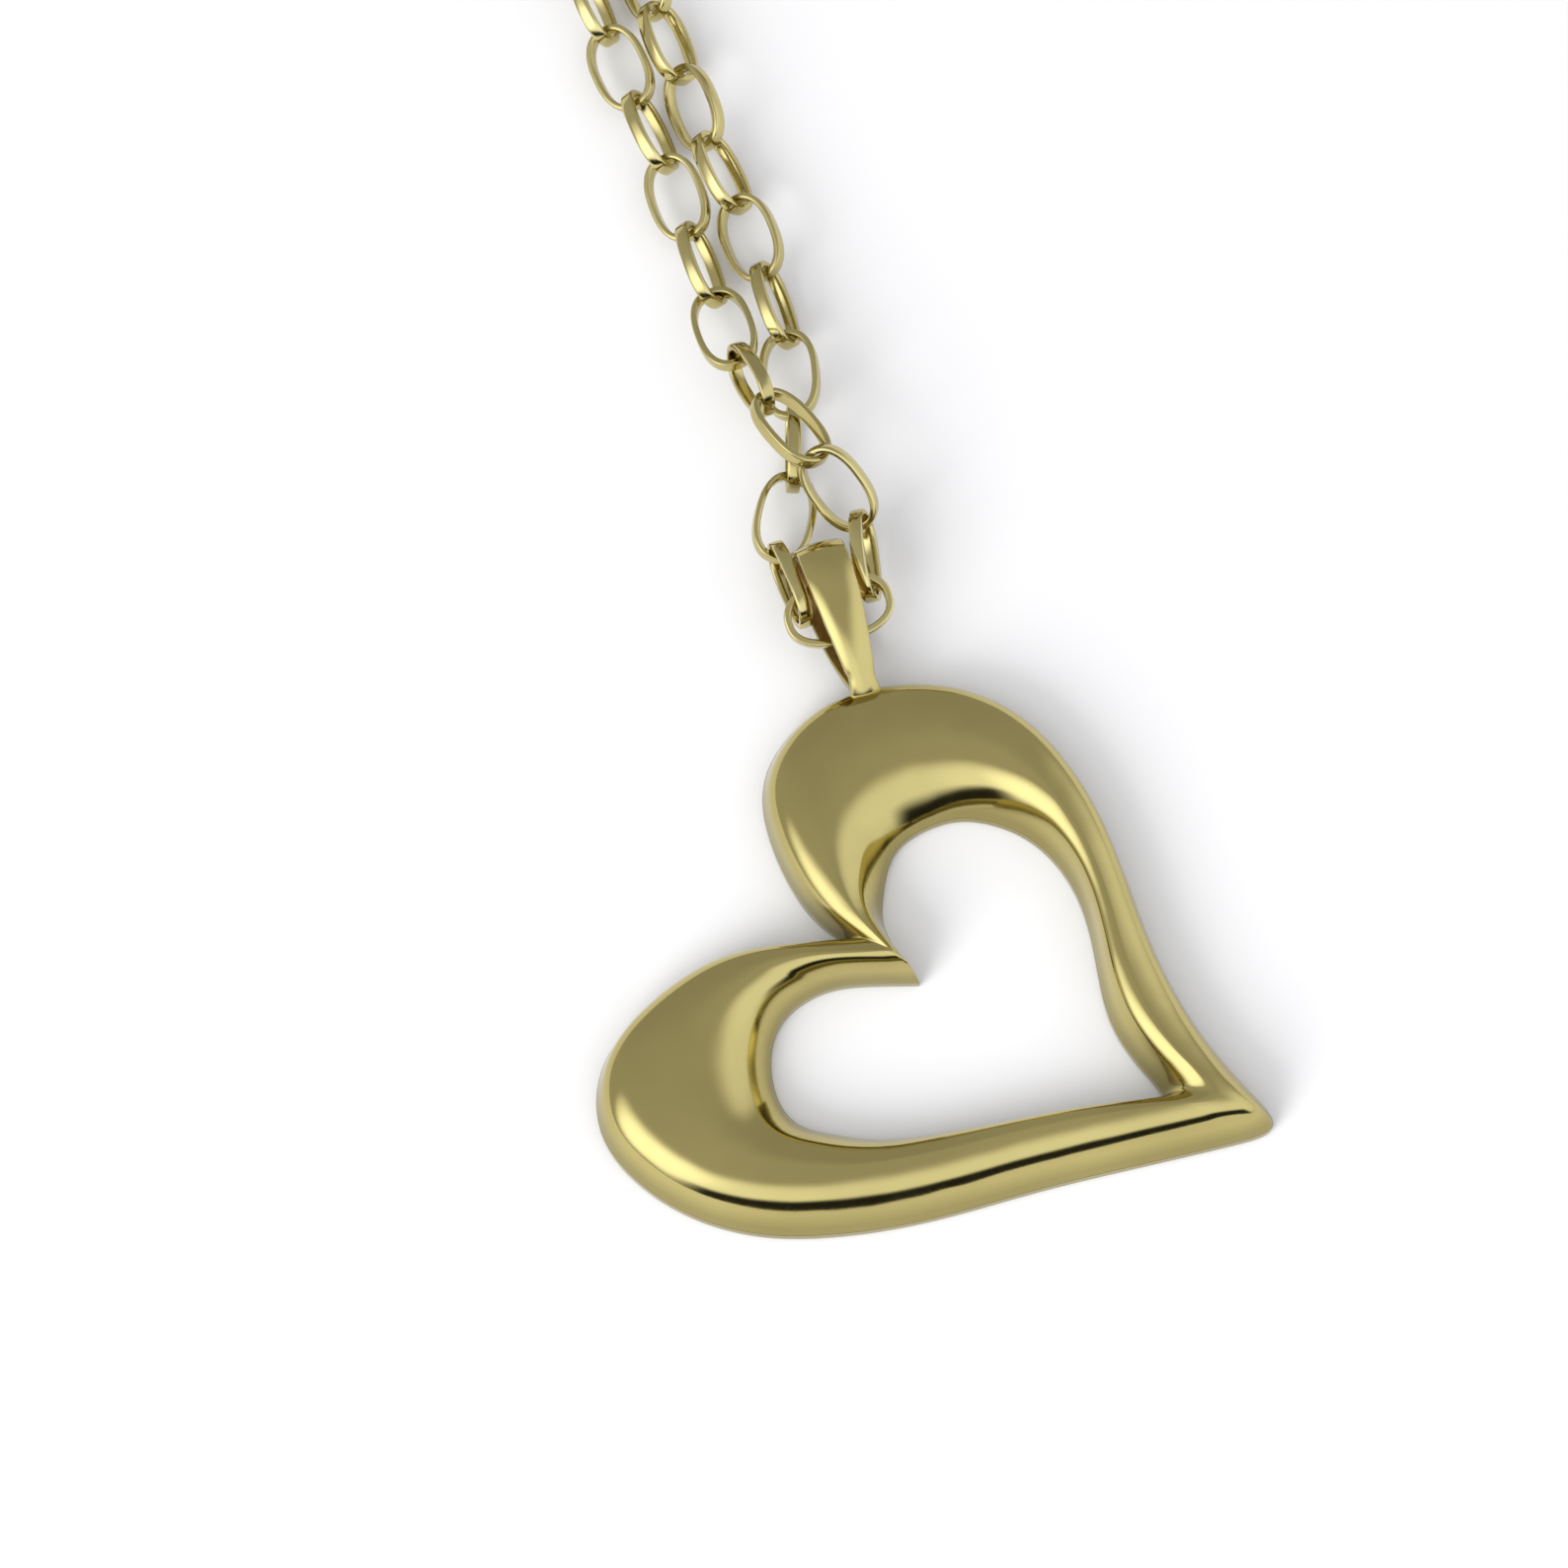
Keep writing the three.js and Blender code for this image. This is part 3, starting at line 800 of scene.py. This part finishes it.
def cast_piece(node, name, voxel, rounds, material, slot, body):
    """A round-edged piece of the CAD node's shape, as a casting has.

    voxel is the size in millimetres of its finest detail, and rounds is how often it is smoothed.
    """
    piece = bpy.data.objects.new(name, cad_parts[node].data.copy())
    bpy.context.scene.collection.objects.link(piece)
    add_modifier(piece, "REMESH", mode="VOXEL", voxel_size=voxel * MM, use_smooth_shade=True)
    add_modifier(piece, "SMOOTH", factor=0.6, iterations=rounds)
    return dress(piece, material, slot, body, node)


def turned_ring(node, name, body):
    """A jump ring of round wire with its cut, standing on edge as the CAD one does."""
    low, high = (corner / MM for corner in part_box(node))
    middle, wire = (low + high) / 2, (high.x - low.x) / 2
    radius = (high.z - low.z) / 2 - wire
    rows = []
    for i, angle in enumerate(turn_angles(RING_STEPS)):
        out = Vector((0, math.cos(angle), math.sin(angle)))
        thick = wire * CUT_WIRE if i in RING_CUT else wire
        row = []
        for turn in turn_angles(WIRE_STEPS):
            beside = Vector((thick * math.sin(turn), 0, 0))
            row.append(middle + out * (radius + thick * math.cos(turn)) + beside)
        rows.append(row)
    return dress(ring_piece(name, rows), chain_gold, "chain_gold", body, node)


claw = cast_piece("clasp_body", "clasp_claw", 0.07, 6, polished, "polished_gold", "chain")
lever = cast_piece(
    "clasp_lever", "clasp_thumb_lever", 0.05, 5, polished, "polished_gold", "clasp_lever"
)
pin = cast_piece("clasp_lever_pin", "clasp_rivet", 0.03, 5, steel, "spring_steel", "chain")
spring = cast_piece("clasp_spring", "clasp_return_spring", 0.022, 4, steel, "spring_steel", "chain")
jump_ring = turned_ring("clasp_jump_ring", "clasp_ring", "clasp_jump_ring")
end_ring = turned_ring("chain_end_ring", "end_ring", "chain_end_ring")
build_run(
    "left_chain",
    left_path(),
    "chain",
    ["left_chain_run", "chain_coil"],
)
build_run("right_chain", right_path(), "chain", ["right_chain_run"])


# ------------------------------------------------------------------ table and light
TABLE_HALF = 600
SKY_LEVEL = 0.58
COOL = (0.98, 1.01, 1.1)  # the colour of the bright patches
# What the gold mirrors: azimuth, elevation, inner and outer radius in degrees, brightness.
SKY_PATCHES = [
    (180, 20, 15, 60, 0.47),
    (100, 24, 16, 46, 1.2),
    (60, 36, 10, 42, 1.3),
    (15, 34, 8, 42, 1.3),
    (-25, 33, 8, 42, 1.5),
    (-62, 36, 7, 36, 2.3),
]
# The camera's dark side of the room: azimuth, half widths, elevations, brightness.
DARK_BAND = (9, (36, 54), (16, 27), 0.02)


def build_table():
    size = TABLE_HALF
    corners = [(-size, -size, 0), (size, -size, 0), (size, size, 0), (-size, size, 0)]
    table = mesh_object("table", corners, [(0, 1, 2, 3)], smooth=False)
    material, nodes, links = principled("white_table")
    shader = nodes["Principled BSDF"]
    cloud = noise(nodes, links, 40)
    colour = ramp(nodes, links, cloud, (0.68, 0.67, 0.655), (0.7, 0.69, 0.675))
    links.new(colour, shader.inputs["Base Color"])
    shader.inputs["Roughness"].default_value = 0.7
    table.data.materials.append(material)


def sky_direction(azimuth, elevation):
    """A direction seen from the heart. Azimuth 0 is the camera's side and 90 the right."""
    turn, rise = math.radians(azimuth), math.radians(elevation)
    flat = -away * math.cos(turn) + across * math.sin(turn)
    return flat * math.cos(rise) + Vector((0, 0, math.sin(rise)))


def soft_box(name, azimuth, elevation, distance, size, power):
    """A square soft light that looks at the heart and isn't mirrored in the gold.

    distance and size are in metres, and power is in watts.
    """
    place = sky_direction(azimuth, elevation)
    data = bpy.data.lights.new(name, "AREA")
    data.size = size
    data.energy = power
    light = bpy.data.objects.new(name, data)
    light.location = TARGET + place * distance
    light.rotation_euler = place.to_track_quat("Z", "Y").to_euler()
    light.visible_glossy = False
    bpy.context.scene.collection.objects.link(light)


def smooth_share(nodes, links, value, none, full):
    """0 where the value is none and 1 where it is full, easing between."""
    node = nodes.new("ShaderNodeMapRange")
    node.interpolation_type = "SMOOTHSTEP"
    node.inputs["From Min"].default_value = none
    node.inputs["From Max"].default_value = full
    links.new(value, node.inputs["Value"])
    return node.outputs["Result"]


def closeness(nodes, links, axis):
    """The cosine of the angle between the sky's direction and an axis."""
    place = nodes.new("ShaderNodeTexCoord")
    dot = nodes.new("ShaderNodeVectorMath")
    dot.operation = "DOT_PRODUCT"
    dot.inputs[1].default_value = axis
    links.new(place.outputs["Generated"], dot.inputs[0])
    return dot.outputs["Value"]


def paint(nodes, links, below, share, level):
    """The sky so far, with a share of it at the given brightness instead."""
    mix = nodes.new("ShaderNodeMix")
    mix.data_type = "RGBA"
    links.new(share, mix.inputs["Factor"])
    links.new(below, mix.inputs["A"])
    tint = COOL if level > 1 else (1, 1, 1)
    mix.inputs["B"].default_value = (*(level * part for part in tint), 1)
    return mix.outputs["Result"]


def sky_patch(nodes, links, below, azimuth, elevation, inner, outer, level):
    """A round patch of the given brightness, soft from its inner to its outer radius."""
    cosine = closeness(nodes, links, sky_direction(azimuth, elevation))
    edges = math.cos(math.radians(outer)), math.cos(math.radians(inner))
    return paint(nodes, links, below, smooth_share(nodes, links, cosine, *edges), level)


def sky_band(nodes, links, below, azimuth, widths, heights, level):
    """A band along the horizon: it ends softly at two half widths and two elevations."""
    beside = closeness(nodes, links, sky_direction(azimuth, 0))
    above = closeness(nodes, links, Vector((0, 0, 1)))
    sides = [math.cos(math.radians(w)) for w in widths]
    tops = [math.sin(math.radians(h)) for h in heights]
    both = nodes.new("ShaderNodeMath")
    both.operation = "MULTIPLY"
    links.new(smooth_share(nodes, links, beside, sides[1], sides[0]), both.inputs[0])
    links.new(smooth_share(nodes, links, above, tops[1], tops[0]), both.inputs[1])
    return paint(nodes, links, below, both.outputs["Value"], level)


def build_sky():
    world = bpy.data.worlds.new("studio")
    bpy.context.scene.world = world
    world.use_nodes = True
    nodes, links = world.node_tree.nodes, world.node_tree.links
    base = nodes.new("ShaderNodeRGB")
    base.outputs[0].default_value = (SKY_LEVEL, SKY_LEVEL, SKY_LEVEL, 1)
    colour = base.outputs[0]
    for patch in SKY_PATCHES:
        colour = sky_patch(nodes, links, colour, *patch)
    colour = sky_band(nodes, links, colour, *DARK_BAND)
    links.new(colour, nodes["Background"].inputs["Color"])


build_table()
build_sky()
soft_box("key_light", azimuth=-38, elevation=27, distance=0.5, size=0.28, power=2.6)
soft_box("fill_light", azimuth=0, elevation=80, distance=0.5, size=0.5, power=0.55)

bpy.context.scene.view_settings.view_transform = "Standard"
